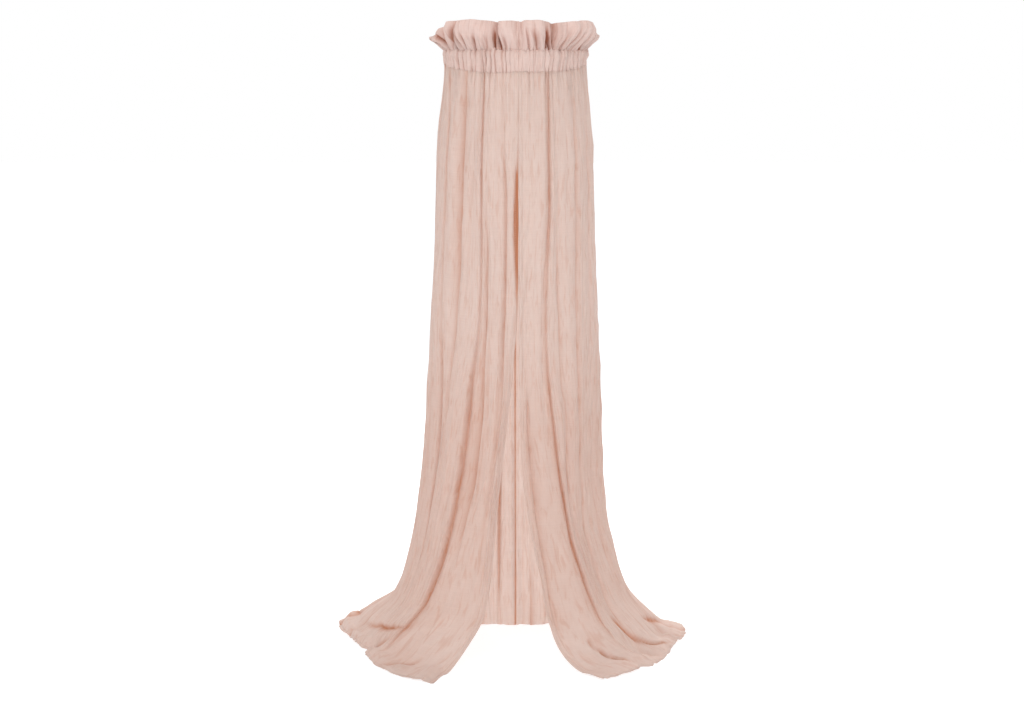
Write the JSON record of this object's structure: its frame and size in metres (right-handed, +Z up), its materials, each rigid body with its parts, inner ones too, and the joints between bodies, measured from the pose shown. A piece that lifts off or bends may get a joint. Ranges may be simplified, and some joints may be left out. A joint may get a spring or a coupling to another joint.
{
  "type": "bed crown canopy",
  "caption": "Gathered cotton drapes on a hoop in a stitched rod pocket under a ruffled heading, open at the front, sweeping onto the floor and hung by ringed tapes.",
  "frame": {"origin": "the centre of the hoop, at the middle of its tube", "axes": "+Z up, the open front towards -Y, +X to the right of someone who looks at the front"},
  "size_m": [0.8415, 0.6052, 1.4696],
  "materials": {
    "crinkled_cotton": "washed, crinkled plain weave",
    "tape": "woven cotton tape",
    "coated_steel": "white powder coat, satin",
    "bright_steel": "nickel plated"
  },
  "bodies": {
    "root": {"hoop_half_front": "coated_steel", "hoop_half_back": "coated_steel", "hoop_spigot_left": "bright_steel", "hoop_spigot_right": "bright_steel", "hanging_tape_front_left": "tape", "hanging_tape_front_right": "tape", "hanging_tape_back_left": "tape", "hanging_tape_back_right": "tape", "heading_left": "crinkled_cotton", "heading_right": "crinkled_cotton", "casing_left": "crinkled_cotton", "casing_right": "crinkled_cotton", "drape_left": "crinkled_cotton", "drape_right": "crinkled_cotton"},
    "left_edge": {"front_hem_left": "crinkled_cotton"},
    "right_edge": {"front_hem_right": "crinkled_cotton"},
    "ring_front_left": {"hanging_ring_front_left": "bright_steel"},
    "ring_front_right": {"hanging_ring_front_right": "bright_steel"},
    "ring_back_left": {"hanging_ring_back_left": "bright_steel"},
    "ring_back_right": {"hanging_ring_back_right": "bright_steel"}
  },
  "joints": [
    {"name": "left_drape_draw", "type": "hinge", "parent": "root", "child": "left_edge", "pos_m": [0, 0, 0], "axis": [0, 0, -1], "range_deg": [0, 30], "deforming": ["drape_left", "casing_left", "heading_left"]},
    {"name": "right_drape_draw", "type": "hinge", "parent": "root", "child": "right_edge", "pos_m": [0, 0, 0], "axis": [0, 0, 1], "range_deg": [0, 30], "deforming": ["drape_right", "casing_right", "heading_right"]},
    {"name": "ring_swing_front_left", "type": "hinge", "parent": "root", "child": "ring_front_left", "pos_m": [-0.09334, -0.09334, 0.038], "axis": [0.7071, -0.7071, 0], "range_deg": [-180, 25]},
    {"name": "ring_swing_front_right", "type": "hinge", "parent": "root", "child": "ring_front_right", "pos_m": [0.09334, -0.09334, 0.038], "axis": [0.7071, 0.7071, 0], "range_deg": [-180, 25]},
    {"name": "ring_swing_back_left", "type": "hinge", "parent": "root", "child": "ring_back_left", "pos_m": [-0.09334, 0.09334, 0.038], "axis": [-0.7071, -0.7071, 0], "range_deg": [-180, 25]},
    {"name": "ring_swing_back_right", "type": "hinge", "parent": "root", "child": "ring_back_right", "pos_m": [0.09334, 0.09334, 0.038], "axis": [-0.7071, 0.7071, 0], "range_deg": [-180, 25]}
  ]
}
